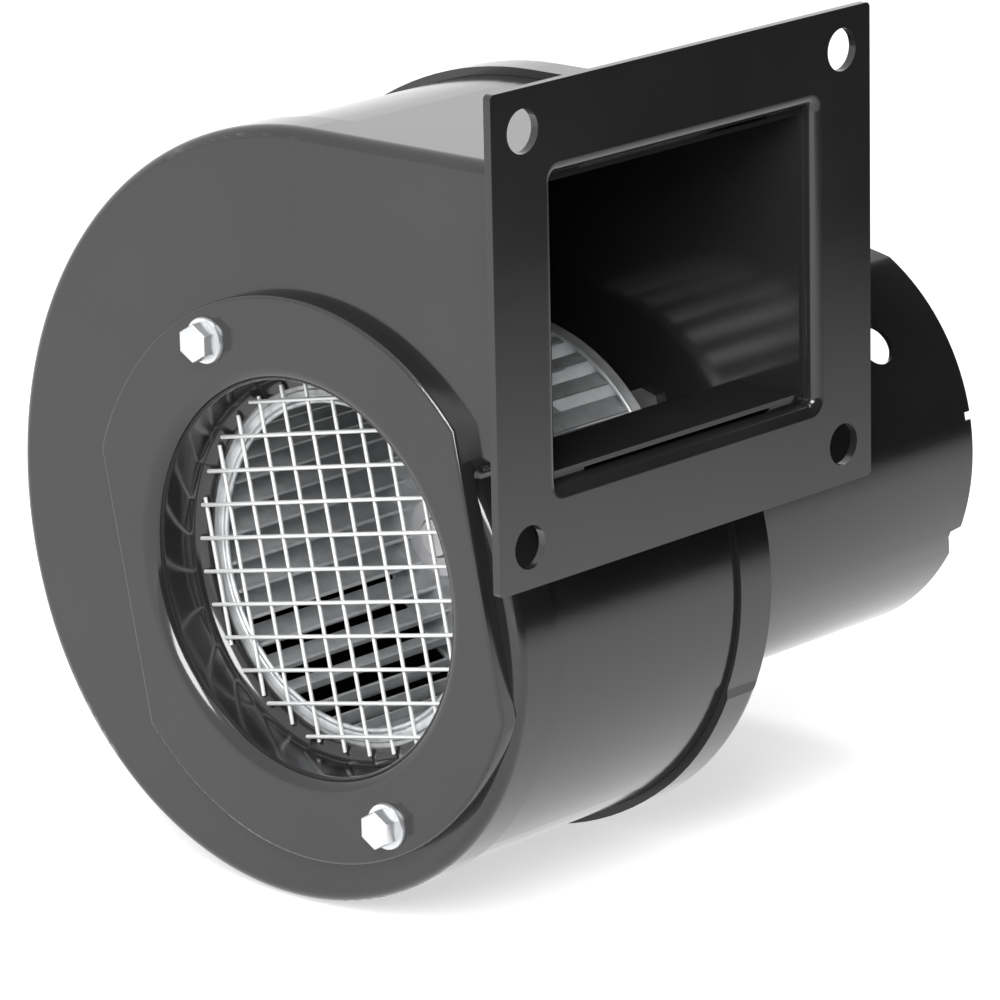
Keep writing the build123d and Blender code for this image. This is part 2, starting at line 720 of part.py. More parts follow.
# Screws from inside the scroll hold the motor, with nuts behind its front bracket
motor_screw_length = front_bracket_end - rear_face + nut_height + screw_end
motor_screws = hex_fastener(
    mount_screw_circle, mount_screw_count, mount_screw_turn, screw_radius,
    rear_face, nut_height, 1, motor_screw_length, hex_across_flats,
)
save(motor_screws, "motor_screws")
motor_nuts = hex_nuts(
    mount_screw_circle, mount_screw_count, mount_screw_turn, screw_radius + fit_gap,
    front_bracket_end, nut_height, hex_across_flats,
)
save(motor_nuts, "motor_nuts")

# Long bolts clamp the stator between the two brackets
through_bolt_length = rear_bracket_end - front_bracket_start
through_bolts = hex_fastener(
    through_bolt_circle, bracket_count, bolt_turn, through_bolt_radius,
    rear_bracket_end, through_nut_height, -1, through_bolt_length, through_nut_across_flats,
)
save(through_bolts, "through_bolts")
through_bolt_nuts = hex_nuts(
    through_bolt_circle, bracket_count, bolt_turn, through_bolt_radius + fit_gap,
    front_bracket_end, through_nut_height, through_nut_across_flats,
)
save(through_bolt_nuts, "through_bolt_nuts")

# Stator: a laminated ring with four poles, and a coil round each pole
yoke_bore = inside_radius - yoke_depth
stator_bore = yoke_bore - winding_room
shoe_radius = stator_bore + pole_face_depth
slot_reach = shoe_radius + pole_face_depth
pole_turn = bolt_turn
with BuildPart() as stator_core:
    with BuildSketch(face_plane(stack_start)):
        Circle(inside_radius)
        Circle(yoke_bore, mode=Mode.SUBTRACT)
        with PolarLocations(0, pole_count, pole_turn):
            Rectangle(inside_radius - yoke_depth / 2, pole_neck_width, align=(Align.MIN, Align.CENTER))
        Circle(shoe_radius)
        with PolarLocations(0, pole_count, pole_turn + 180 / pole_count):
            Rectangle(slot_reach, pole_slot, align=(Align.MIN, Align.CENTER), mode=Mode.SUBTRACT)
        Circle(stator_bore, mode=Mode.SUBTRACT)
        with PolarLocations(through_bolt_circle, bracket_count, bolt_turn):
            Circle(through_bolt_radius + screw_play, mode=Mode.SUBTRACT)
    extrude(amount=-stack_length)
save(stator_core.part, "stator_core")

coil_window = pole_neck_width + 2 * coil_gap
coil_half_width = coil_window / 2 + coil_thickness
coil_bottom = shoe_radius + coil_gap
coil_top = sqrt(yoke_bore ** 2 - coil_half_width ** 2) - coil_gap
coil_middle = stack_start + stack_length / 2
with BuildPart() as field_coils:
    for index in range(pole_count):
        angle = radians(pole_turn + 360 * index / pole_count)
        outward = (cos(angle), 0, sin(angle))
        coil_plane = Plane(origin=(axis_x, front_y + coil_middle, axis_z), x_dir=(0, 1, 0), z_dir=outward)
        with BuildSketch(coil_plane.offset(coil_bottom)):
            RectangleRounded(
                stack_length + 2 * (coil_gap + coil_thickness), 2 * coil_half_width, coil_thickness - coil_gap
            )
            Rectangle(stack_length + 2 * coil_gap, coil_window, mode=Mode.SUBTRACT)
        extrude(amount=coil_top - coil_bottom)
save(field_coils.part, "field_coils")

# Rotor: the laminated core, its cast end rings and a small cooling fan
rotor_radius = stator_bore - air_gap
bar_ring_outer = rotor_radius - air_gap
bar_ring_inner = (bar_ring_outer + shaft_radius) / 2 - bar_ring_under_middle
with BuildPart() as rotor_core:
    with BuildSketch(face_plane(stack_start)):
        Circle(rotor_radius)
        Circle(shaft_radius + fit_gap, mode=Mode.SUBTRACT)
    extrude(amount=-stack_length)
save(rotor_core.part, "rotor_core")

with BuildPart() as rotor_end_rings:
    for depth in (stack_start - bar_ring_depth, stack_end):
        with BuildSketch(face_plane(depth)):
            Circle(bar_ring_outer)
            Circle(bar_ring_inner, mode=Mode.SUBTRACT)
        extrude(amount=-bar_ring_depth)
save(rotor_end_rings.part, "rotor_end_rings")

fan_radius = through_bolt_circle - through_bolt_radius - fan_to_bolts
with BuildPart() as cooling_fan:
    with BuildSketch(face_plane(fan_start)):
        Circle(fan_hub_radius)
        with PolarLocations(0, fan_blade_count):
            Rectangle(fan_radius, fan_sheet, align=(Align.MIN, Align.CENTER))
        Circle(fan_radius, mode=Mode.INTERSECT)
    extrude(amount=-fan_depth)
    with BuildSketch(face_plane(fan_end - fan_sheet)):
        Circle(fan_radius)
    extrude(amount=-fan_sheet)
    with BuildSketch(face_plane(fan_start)):
        Circle(shaft_radius + fit_gap)
    extrude(amount=-fan_depth, mode=Mode.SUBTRACT)
save(cooling_fan.part, "cooling_fan")

for name, depth in (
    ("wheel", wheel_start),
    ("hub", hub_front),
    ("front bearing", front_bearing_start),
    ("stack", stack_start),
    ("fan", fan_start),
    ("rear bearing", rear_bearing_start),
    ("shell end", shell_end),
):
    print(f"{name}: {depth:.2f} mm behind the front plate")
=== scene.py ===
# %% [markdown]
# # A small centrifugal blower
# The blower is a pressed-steel scroll painted gloss black, with a square outlet flange, a round inlet
# plate that is drawn in to a bell, a wire mesh at the bell's end, a galvanised wheel and a motor in a
# round shell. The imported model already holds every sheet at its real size. This lesson adds the
# finishes, and draws again the few pieces whose bends, rolls and wires the eye rests on.

# %% Load the frame
import json
from math import cos, pi, radians, sin, sqrt

import bmesh
import bpy
from mathutils import Matrix, Quaternion, Vector


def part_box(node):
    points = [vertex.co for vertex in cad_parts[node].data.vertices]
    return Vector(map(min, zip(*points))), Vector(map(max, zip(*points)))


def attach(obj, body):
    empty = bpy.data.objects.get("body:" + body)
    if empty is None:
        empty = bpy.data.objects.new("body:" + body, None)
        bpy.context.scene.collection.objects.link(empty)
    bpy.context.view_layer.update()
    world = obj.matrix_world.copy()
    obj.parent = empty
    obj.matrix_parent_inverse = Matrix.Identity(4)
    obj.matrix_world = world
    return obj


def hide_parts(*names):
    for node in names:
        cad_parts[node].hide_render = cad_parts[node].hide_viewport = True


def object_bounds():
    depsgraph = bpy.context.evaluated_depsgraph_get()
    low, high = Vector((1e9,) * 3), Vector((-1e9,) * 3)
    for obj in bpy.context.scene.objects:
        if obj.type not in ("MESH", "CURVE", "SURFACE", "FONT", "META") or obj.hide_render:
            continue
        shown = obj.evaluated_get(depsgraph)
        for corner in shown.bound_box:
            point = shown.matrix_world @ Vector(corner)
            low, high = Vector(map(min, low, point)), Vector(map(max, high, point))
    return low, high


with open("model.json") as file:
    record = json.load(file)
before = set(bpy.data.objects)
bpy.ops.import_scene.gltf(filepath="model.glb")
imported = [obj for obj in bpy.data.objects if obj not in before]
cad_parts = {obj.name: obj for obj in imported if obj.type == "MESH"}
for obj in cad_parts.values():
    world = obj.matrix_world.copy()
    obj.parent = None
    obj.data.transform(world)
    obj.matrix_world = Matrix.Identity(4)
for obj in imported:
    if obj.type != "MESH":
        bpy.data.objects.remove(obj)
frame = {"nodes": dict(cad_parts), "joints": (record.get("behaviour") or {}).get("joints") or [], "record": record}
cad_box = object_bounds()
nodes = frame["nodes"]
MM = 0.001

# %% [markdown]
# The shaft is the line that everything round is measured from. The joint says where it runs, and the
# front plate's box says where the scroll begins, so no place has to be typed in twice.

# %% Places that the lesson measures from
shaft_x, _, shaft_z = frame["joints"][0]["pos_m"]
front_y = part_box("scroll_front_plate")[0].y
floor_z = cad_box[0].z
print(f"shaft at x {shaft_x:.4f}, z {shaft_z:.4f}, front plate at y {front_y:.4f}")


def on_face(across, up, depth=0.0):
    """A point square in front of the inlet: across and up from the shaft, depth behind the front plate."""
    return Vector((shaft_x + across, front_y + depth, shaft_z + up))


# %% [markdown]
# The camera stands far off with a long lens, to the right of the inlet and a little above it. Azimuth,
# elevation and roll say where it looks from more plainly than nine numbers of a matrix do.

# %% Camera
camera_azimuth = radians(42.82)
camera_elevation = radians(15.98)
camera_roll = radians(-1.195)
camera = bpy.data.objects.new("camera", bpy.data.cameras.new("camera"))
camera.data.lens = 214.1
camera.data.sensor_width = 36.0
camera.location = (0.6692, -0.7725, 0.2553)
towards = Vector(
    (
        -sin(camera_azimuth) * cos(camera_elevation),
        cos(camera_azimuth) * cos(camera_elevation),
        -sin(camera_elevation),
    )
)
camera.rotation_mode = "QUATERNION"
camera.rotation_quaternion = towards.to_track_quat("-Z", "Y") @ Quaternion((0, 0, 1), camera_roll)
bpy.context.scene.collection.objects.link(camera)
bpy.context.scene.camera = camera
print("camera", round(camera.location.length, 3), "m from the outlet")

# %% [markdown]
# A material is a small recipe of nodes, and its sums read best as sums. The class `Flow` wraps one
# socket, so that `0.1 + haze * 0.09` adds the Math nodes that work it out. The class `Finish` starts a
# material with a Principled shader and has one method that adds any other node.


# %% Shader sums as Python sums
class Flow:
    """A socket that carries a number. Arithmetic on it adds Math nodes."""

    def __init__(self, finish, socket):
        self.finish = finish
        self.socket = socket

    def sum_with(self, operation, first, second):
        return self.finish.node("ShaderNodeMath", {"operation": operation}, {0: first, 1: second})

    def __add__(self, other):
        return self.sum_with("ADD", self, other)

    def __radd__(self, other):
        return self.sum_with("ADD", other, self)

    def __mul__(self, other):
        return self.sum_with("MULTIPLY", self, other)

    def __rmul__(self, other):
        return self.sum_with("MULTIPLY", other, self)


class Finish:
    """A material under construction."""

    def __init__(self, name, colour, roughness, metallic=0.0, coat=0.0):
        self.material = bpy.data.materials.new(name)
        self.material.use_nodes = True
        self.tree = self.material.node_tree
        self.shader = self.tree.nodes["Principled BSDF"]
        self.put("Base Color", (*colour, 1.0))
        self.put("Roughness", roughness)
        self.put("Metallic", metallic)
        self.put("Coat Weight", coat)

    def put(self, name, value):
        """Give one socket of the shader a value or a link."""
        self.join(self.shader.inputs[name], value)

    def join(self, socket, value):
        if isinstance(value, Flow):
            self.tree.links.new(value.socket, socket)
        else:
            socket.default_value = value

    def node(self, kind, settings=None, values=None, output=0):
        """Add a node: its settings first, then the values or links of its sockets."""
        made = self.tree.nodes.new(kind)
        for name, value in (settings or {}).items():
            setattr(made, name, value)
        for name, value in (values or {}).items():
            self.join(made.inputs[name], value)
        return Flow(self, made.outputs[output])

    def place(self):
        return self.node("ShaderNodeTexCoord", output="Object")

    def grain(self, scale, detail=2.0, stretch=(1.0, 1.0, 1.0)):
        """Soft noise from 0 to 1, finer with a larger scale."""
        where = self.node("ShaderNodeMapping", None, {"Vector": self.place(), "Scale": stretch})
        return self.node("ShaderNodeTexNoise", None, {"Vector": where, "Scale": scale, "Detail": detail})

    def relief(self, height, depth):
        """Bump: depth is how deep the pattern is, in metres."""
        bump = self.node("ShaderNodeBump", None, {"Height": height, "Distance": depth, "Strength": 1.0})
        self.put("Normal", bump)

    def blend(self, factor, low, high):
        """A colour between two. Inputs 6 and 7 of a Mix node are its colours, and output 2 is theirs."""
        return self.node(
            "ShaderNodeMix",
            {"data_type": "RGBA"},
            {"Factor": factor, 6: (*low, 1.0), 7: (*high, 1.0)},
            output=2,
        )


print("shader helpers ready")

# %% [markdown]
# The sheets are dipped in gloss black enamel. Wet paint pulls itself flat but never quite: a faint
# orange-peel wave is left, which softens reflections, and the gloss varies a little from place to place.
# The wave is a bump of a few micrometres, because a colour change wouldn't bend a reflection.

# %% Gloss black enamel
paint = Finish("black_enamel", (0.012, 0.012, 0.0125), 0.14)
haze = paint.grain(45.0)
paint.put("Roughness", 0.1 + haze * 0.09)
paint.put("Base Color", paint.blend(haze, (0.009, 0.009, 0.0095), (0.015, 0.015, 0.0155)))
paint.relief(paint.grain(260.0, detail=1.0), 0.000012)
print("enamel:", len(paint.tree.nodes), "nodes")

# %% [markdown]
# Galvanised sheet shows the crystals that the zinc froze into. A Voronoi texture has the same flat
# patches, so it sets how rough and how bright each crystal is. Dull zinc scatters much of its light,
# which a metal that is only half metallic imitates.

# %% Galvanised sheet, zinc plate and wire
galvanised = Finish("galvanised_sheet", (0.52, 0.53, 0.54), 0.42, metallic=0.6)
crystals = galvanised.node(
    "ShaderNodeTexVoronoi", {"feature": "F1"}, {"Vector": galvanised.place(), "Scale": 420.0}, output="Color"
)
crystal_tone = galvanised.node("ShaderNodeSeparateColor", None, {"Color": crystals})
galvanised.put("Roughness", 0.38 + crystal_tone * 0.12)
galvanised.put("Base Color", galvanised.blend(crystal_tone, (0.48, 0.49, 0.50), (0.56, 0.57, 0.58)))

wire_finish = Finish("galvanised_wire", (0.60, 0.61, 0.61), 0.4, metallic=0.5)
wire_finish.relief(wire_finish.grain(900.0), 0.00003)

plating = Finish("zinc_plate", (0.58, 0.59, 0.60), 0.3, metallic=0.85)
plating.put("Roughness", 0.24 + plating.grain(300.0) * 0.16)

turned = Finish("turned_steel", (0.56, 0.56, 0.57), 0.28, metallic=1.0)
turned.relief(turned.grain(500.0, stretch=(1.0, 14.0, 1.0)), 0.00002)
print("metals:", [m.name for m in bpy.data.materials])

# %% [markdown]
# The motor's inner pieces show through the windows of its rear bracket. Each has one plain fact that
# makes it read right: laminations are stripes across the shaft, wire turns are stripes round the coil,
# felt is all fibre, and die-cast aluminium is slightly grainy.

# %% Finishes inside the motor
laminated = Finish("laminated_steel", (0.34, 0.35, 0.37), 0.42, metallic=1.0)
plates = laminated.node(
    "ShaderNodeTexWave",
    {"wave_type": "BANDS", "bands_direction": "Y"},
    {"Vector": laminated.place(), "Scale": 300.0, "Distortion": 0.0},
)
laminated.put("Base Color", laminated.blend(plates, (0.16, 0.16, 0.17), (0.42, 0.43, 0.45)))
laminated.relief(plates, 0.0001)

copper = Finish("enamelled_copper", (0.62, 0.20, 0.07), 0.3, metallic=0.7, coat=0.5)
turns = copper.node(
    "ShaderNodeTexWave",
    {"wave_type": "BANDS", "bands_direction": "Y"},
    {"Vector": copper.place(), "Scale": 260.0, "Distortion": 1.5, "Detail": 1.0},
)
copper.put("Base Color", copper.blend(turns, (0.30, 0.08, 0.03), (0.70, 0.24, 0.09)))
copper.relief(turns, 0.0002)

bronze = Finish("sintered_bronze", (0.62, 0.40, 0.18), 0.4, metallic=1.0)
bronze.relief(bronze.grain(1500.0), 0.00004)

felt = Finish("oiled_felt", (0.40, 0.33, 0.20), 0.9)
felt.relief(felt.grain(1800.0, detail=6.0), 0.0003)

cast = Finish("cast_aluminium", (0.72, 0.73, 0.74), 0.45, metallic=1.0)
cast.relief(cast.grain(900.0, detail=4.0), 0.00008)

rubber = Finish("black_rubber", (0.02, 0.02, 0.02), 0.6)
rubber.relief(rubber.grain(1200.0), 0.00005)

moulded = Finish("moulded_plastic", (0.05, 0.05, 0.055), 0.45)
moulded.relief(moulded.grain(700.0), 0.00004)
print("finishes:", len(bpy.data.materials))

# %% [markdown]
# The record names a material slot for every node. One table from slot to finish dresses them all, and a
# new piece later says its slot in the same words.

# %% Dress the frame's own pieces
finishes = {
    "black_paint": paint,
    "zinc_wire": wire_finish,
    "zinc_screw": plating,
    "wheel_steel": galvanised,
    "turned_steel": turned,
    "bearing_bronze": bronze,
    "oiled_felt": felt,
    "core_steel": laminated,
    "coil_copper": copper,
    "cast_aluminium": cast,
    "black_rubber": rubber,
    "fan_plastic": moulded,
}


def dress(piece, slot):
    """Give a piece the finish of one slot of the record."""
    piece.data.materials.clear()
    piece.data.materials.append(finishes[slot].material)


for row in frame["record"]["subparts"]:
    dress(nodes[row["node"]], row["material_slot"])

# %% [markdown]
# Every new piece ends the same way: its mesh becomes an object at the origin, takes a slot's finish,
# rides on a body and stands for the plain node under it. Normals are worked out once the doubles are
# merged, because spinning a shape can leave it inside out.


# %% Finish a piece
touching = 1e-6
smooth_below = radians(35)


def close_up(shape):
    """Merge the points that touch, then turn every face outward."""
    bmesh.ops.remove_doubles(shape, verts=shape.verts, dist=touching)
    bmesh.ops.recalc_face_normals(shape, faces=shape.faces)


def finish_piece(shape, name, slot, body, stands_for=()):
    """Turn a bmesh into a named piece of the blower."""
    close_up(shape)
    for edge in shape.edges:
        edge.smooth = len(edge.link_faces) == 2 and edge.calc_face_angle() < smooth_below
    for face in shape.faces:
        face.smooth = True
    mesh = bpy.data.meshes.new(name)
    shape.to_mesh(mesh)
    shape.free()
    piece = bpy.data.objects.new(name, mesh)
    bpy.context.scene.collection.objects.link(piece)
    dress(piece, slot)
    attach(piece, body)
    if stands_for:
        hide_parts(*stands_for)
    print(name, len(mesh.polygons), "faces")
    return piece


print("edges under", round(smooth_below, 2), "radians are shaded smooth")

# %% [markdown]
# Round sheet-metal shapes are drawn as profiles and spun round the shaft. A profile is a list of
# points, each a radius and a distance forward of some depth. Bends are arcs, worked out by one function.


# %% Spun profiles
def spun(shape, profile, centre, steps=32):
    """Spin a profile of (radius, forward) points round a line that runs along the shaft."""
    points = [shape.verts.new(centre + Vector((radius, -forward, 0))) for radius, forward in profile]
    edges = [shape.edges.new(pair) for pair in zip(points, points[1:])]
    bmesh.ops.spin(
        shape,
        geom=points + edges,
        cent=centre,
        axis=(0, 1, 0),
        angle=2 * pi,
        steps=steps,
        use_merge=True,
    )


def bend(radius, forward, size, start, end, count=8):
    """Points along an arc of a profile: its centre, its size, and its start and end in degrees."""
    turns = [radians(start + (end - start) * index / count) for index in range(count + 1)]
    return [(radius + size * cos(turn), forward + size * sin(turn)) for turn in turns]


def off_shaft(point):
    """How far a point lies from the shaft's line."""
    return sqrt((point.x - shaft_x) ** 2 + (point.z - shaft_z) ** 2)


print("profiles ready")

# %% [markdown]
# The inlet plate's middle is drawn back as a bell: a bend, a straight wall and a lip that turns in under
# the mesh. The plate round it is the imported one, copied without its plain bell, and the new bell is spun
# to fit the circle where that was cut away. The plate's flat face stays flat shaded, or the bends at its
# edges would pull its shading round.

# %% Inlet plate with a drawn bell
plate_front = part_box("inlet_plate")[0].y
bell_wall = 37.1 * MM
bell_lip = 2.9 * MM
bell_sheet = 0.9 * MM
bell_bottom = 8.7 * MM
bell_cut = 40.5 * MM
level = 0.01 * MM
square_on = 0.999
plate = bmesh.new()
plate.from_mesh(nodes["inlet_plate"].data)
plate.transform(nodes["inlet_plate"].matrix_world)
old_bell = [face for face in plate.faces if all(off_shaft(vert.co) < bell_cut for vert in face.verts)]
bmesh.ops.delete(plate, geom=old_bell, context="FACES")
mouth = min(off_shaft(vert.co) for vert in plate.verts if vert.co.y < plate_front + level)
mouth_forward = front_y - plate_front
mouth_bend = mouth - bell_wall
bend_middle = mouth_forward - mouth_bend
lip_radius = bell_wall - bell_lip
lip_middle = bell_lip - bell_bottom
bell_profile = (
    bend(mouth, bend_middle, mouth_bend, 90, 180, 12)
    + bend(lip_radius, lip_middle, bell_lip, 0, -90)
    + bend(lip_radius, lip_middle, bell_lip + bell_sheet, -90, 0)
    + bend(mouth, bend_middle, mouth_bend - bell_sheet, 180, 90)
)
spun(plate, bell_profile + bell_profile[:1], on_face(0, 0), steps=96)
plate_piece = finish_piece(plate, "inlet_plate_drawn", "black_paint", "housing", ["inlet_plate"])
for face in plate_piece.data.polygons:
    face.use_smooth = abs(face.normal.y) < square_on

# %% [markdown]
# The guard is hardware cloth: straight round wires laid across each other and welded where they touch.
# A grid of boxes would look stamped out, so each wire is its own rod, the two layers lie one behind the
# other, and they overlap a little, as welds do.

# %% Welded wire guard
guard_low, guard_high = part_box("mesh_guard")
guard_forward = Vector((0, -0.3 * MM, 0))
guard_middle = (guard_low + guard_high) / 2 + guard_forward
guard_radius = (guard_high.x - guard_low.x) / 2
wire_pitch = 6.35 * MM
wire_radius = 0.4 * MM
weld_depth = 0.14 * MM
guard_turn = radians(11.5)
guard_across = -0.7 * MM
guard_up = 0.1 * MM
guard_turned = Matrix.Rotation(-guard_turn, 4, "Y")
guard = bmesh.new()
wires_each_way = int(guard_radius / wire_pitch)
for step in range(-wires_each_way, wires_each_way + 1):
    for aside, layer, lie in (
        (guard_across, wire_radius - weld_depth, "Z"),
        (guard_up, weld_depth - wire_radius, "X"),
    ):
        offset = step * wire_pitch + aside
        length = 2 * sqrt(guard_radius**2 - offset**2)
        place = Vector((offset, layer, 0)) if lie == "Z" else Vector((0, layer, offset))
        turn = Matrix.Identity(4) if lie == "Z" else Matrix.Rotation(pi / 2, 4, "Y")
        bmesh.ops.create_cone(
            guard,
            cap_ends=True,
            segments=12,
            radius1=wire_radius,
            radius2=wire_radius,
            depth=length,
            matrix=Matrix.Translation(guard_middle) @ guard_turned @ Matrix.Translation(place) @ turn,
        )
finish_piece(guard, "mesh_guard_wires", "zinc_wire", "housing", ["mesh_guard"])

# %% [markdown]
# The inlet plate's screws have a hexagon on a pressed washer. The hexagon is a prism with six sides,
# whose front edges are bevelled as forging leaves them.

# %% Bevelled hexagon
hexagon_across = 6.35 * MM
hexagon_height = 3.0 * MM
hexagon_corner = 0.45 * MM


def hexagon(shape, seat):
    """A hexagonal prism that stands forward of its seat, its front edges bevelled."""
    middle_y = seat.y - hexagon_height / 2
    upright = Matrix.Translation((seat.x, middle_y, seat.z)) @ Matrix.Rotation(pi / 2, 4, "X")
    made = bmesh.ops.create_cone(
        shape,
        cap_ends=True,
        segments=6,
        radius1=hexagon_across / sqrt(3),
        radius2=hexagon_across / sqrt(3),
        depth=hexagon_height,
        matrix=upright,
    )
    edges = dict.fromkeys(edge for vert in made["verts"] for edge in vert.link_edges)
    front = [edge for edge in edges if all(vert.co.y < middle_y for vert in edge.verts)]
    bmesh.ops.bevel(
        shape, geom=front, offset=hexagon_corner, segments=3, profile=0.5, affect="EDGES", material=-1
    )


print("hexagon", round(hexagon_across / MM, 2), "mm across flats")

# %% [markdown]
# The washer is a turned shape, and so is the threaded shank behind it: each is a profile that is spun
# round the screw. The two screws stand opposite each other on one circle, so a half turn places both.

# %% Hex washer screws
screw_circle = 47.2 * MM
screw_angle = radians(116.9)
screw_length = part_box("inlet_screws")[1].y - plate_front
washer_radius = 4.4 * MM
washer_height = 0.8 * MM
washer_round = 0.32 * MM
shank_radius = 2.0 * MM
thread_pitch = 1.06 * MM
thread_depth = 0.3 * MM
thread_root = shank_radius - thread_depth
washer_profile = [
    (0, 0),
    (washer_radius, 0),
    (washer_radius, washer_height - washer_round),
    (washer_radius - washer_round / 2, washer_height),
    (0, washer_height),
]
shank_profile = [(0, 0)]
reach = 0.0
while reach < screw_length - thread_pitch:
    shank_profile += [(shank_radius, -reach), (thread_root, -reach - thread_pitch / 2)]
    reach += thread_pitch
shank_profile += [(thread_root, -screw_length), (0, -screw_length)]
screws = bmesh.new()
for way in (0, pi):
    seat = on_face(screw_circle * cos(screw_angle + way), screw_circle * sin(screw_angle + way))
    seat.y = plate_front
    spun(screws, washer_profile, seat)
    hexagon(screws, seat - Vector((0, washer_height, 0)))
    spun(screws, shank_profile, seat, steps=24)
finish_piece(screws, "inlet_hex_screws", "zinc_screw", "housing", ["inlet_screws"])

# %% [markdown]
# The wheel's front ring is rolled round its eye and has a raised band beside the roll, both of which
# stiffen it. Its outer edge is lipped over the blades.

# %% Front ring of the wheel
ring_low, ring_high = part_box("wheel_front_ring")
wheel_radius = (ring_high.x - ring_low.x) / 2
ring_sheet = 0.8 * MM
ring_lip = ring_high.y - ring_low.y
eye_radius = wheel_radius - 7.5 * MM
roll = 0.5 * MM
band_height = 0.42 * MM
band_inner = eye_radius + 1.1 * MM
band_outer = eye_radius + 2.8 * MM
band_round = 0.3 * MM
ring_profile = (
    [(wheel_radius, -ring_lip)]
    + bend(wheel_radius - roll, -roll, roll, 0, 90)
    + [(band_outer, 0)]
    + bend(band_outer - band_round, band_height - band_round, band_round, 0, 90, 4)
    + bend(band_inner + band_round, band_height - band_round, band_round, 90, 180, 4)
    + bend(eye_radius + roll, 0, roll, 0, 270, 14)
    + [
        (band_inner, -ring_sheet),
        (wheel_radius - ring_sheet, -ring_sheet),
        (wheel_radius - ring_sheet, -ring_lip),
        (wheel_radius, -ring_lip),
    ]
)
ring = bmesh.new()
spun(ring, ring_profile, on_face(0, 0, ring_low.y - front_y), steps=96)
finish_piece(ring, "wheel_ring_rolled", "wheel_steel", "rotor", ["wheel_front_ring"])

# %% [markdown]
# The back plate is packed with a plain rim. On the real wheel the rim ends in a small roll that keeps it
# round, so the roll and its lip are one more ring, which lies on the plate's edge.

# %% Rolled rim of the back plate
rim_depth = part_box("wheel_back_plate")[1].y - front_y
rim_lip = 2.6 * MM
rim_inner = wheel_radius - ring_sheet
rim_profile = (
    [(rim_inner, 0), (rim_inner, rim_lip)]
    + bend(rim_inner + roll, rim_lip, roll, 180, -60, 12)
    + [(wheel_radius, 0), (rim_inner, 0)]
)
rim = bmesh.new()
spun(rim, rim_profile, on_face(0, 0, rim_depth), steps=96)
finish_piece(rim, "wheel_rim_roll", "wheel_steel", "rotor")

# %% [markdown]
# The motor shell is a drawn cup: a flat bottom with a round hole, a bend and a long straight wall. One
# profile, drawn along the sheet's outside and back along its inside, is spun into the whole cup.

# %% Cup of the motor shell
shell_low, shell_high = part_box("motor_shell")
shell_radius = (shell_high.x - shell_low.x) / 2
shell_start = shell_low.y - front_y
shell_end = shell_high.y - front_y
shell_length = shell_end - shell_start
shell_sheet = 1.0 * MM
shell_corner = 2.5 * MM
socket_hole = 9.0 * MM
cup_profile = (
    [(socket_hole, 0)]
    + bend(shell_radius - shell_corner, -shell_corner, shell_corner, 90, 0)
    + [(shell_radius, -shell_length), (shell_radius - shell_sheet, -shell_length)]
    + bend(shell_radius - shell_corner, -shell_corner, shell_corner - shell_sheet, 0, 90)
    + [(socket_hole, -shell_sheet), (socket_hole, 0)]
)
cup = bmesh.new()
spun(cup, cup_profile, on_face(0, 0, shell_start), steps=128)
print("cup", round(shell_length / MM, 1), "mm long,", round(2 * shell_radius / MM, 1), "mm across")

# %% [markdown]
# The cup's far rim has four slanted notches where it is staked over the rear bracket, and one small key
# notch. Three vents and the leads' hole go through its wall. Each opening gets a cutter, a rod or a
# prism that stands through the sheet, and all are placed by their angle round the shaft.

# %% Cutters for the shell's openings
vent_angles = (36, 156, 276)
vent_radius = 4.2 * MM
vent_depth = shell_end - 20 * MM
leads_angle = 215
leads_radius = 4.0 * MM
leads_depth = shell_end - 12 * MM
stake_angles = (64, 154, 244, 334)
stake_depth = 3.0 * MM
stake_corners = ((-1, 3.3), (-1, -3.3), (0, -3.3), (1, -2.85), (1, -1.55), (0, 3.3))
key_angle = 10.4
key_corners = ((-1, 0.8), (-1, -0.8), (0.53, -0.8), (0.53, 0.8))
cutter_half = 3 * shell_sheet


def out_of_shell(angle, depth):
    """The axes of a place on the shell: x runs back along the shaft, y round the shell, z outward."""
    turn = radians(angle)
    outward = Vector((cos(turn), 0, sin(turn)))
    along = Vector((0, -1, 0))
    axes = Matrix((along, outward.cross(along), outward)).transposed().to_4x4()
    return Matrix.Translation(on_face(0, 0, depth) + outward * shell_radius) @ axes


def round_cutter(shape, angle, depth, radius):
    """A rod that stands through the shell's wall."""
    bmesh.ops.create_cone(
        shape,
        cap_ends=True,
        segments=48,
        radius1=radius,
        radius2=radius,
        depth=2 * cutter_half,
        matrix=out_of_shell(angle, depth),
    )


def notch_cutter(shape, angle, corners):
    """A prism at the rim. Its corners count notch depths in from the rim and millimetres round it."""
    place = out_of_shell(angle, shell_end)
    ends = []
    for height in (-cutter_half, cutter_half):
        points = [Vector((inward * stake_depth, aside * MM, height)) for inward, aside in corners]
        ends.append([shape.verts.new(place @ point) for point in points])
    low, high = ends
    shape.faces.new(low)
    shape.faces.new(high)
    for index in range(len(corners)):
        after = (index + 1) % len(corners)
        shape.faces.new((low[index], low[after], high[after], high[index]))


cutters = bmesh.new()
for angle in vent_angles:
    round_cutter(cutters, angle, vent_depth, vent_radius)
round_cutter(cutters, leads_angle, leads_depth, leads_radius)
for angle in stake_angles:
    notch_cutter(cutters, angle, stake_corners)
notch_cutter(cutters, key_angle, key_corners)
print("cutters:", len(cutters.faces), "faces")

# %% [markdown]
# A Boolean modifier takes all the cutters out of the cup at once. What is left is read back as a bmesh,
# so that the shell ends as every other piece does, and the two working objects are removed.

# %% Cut the openings


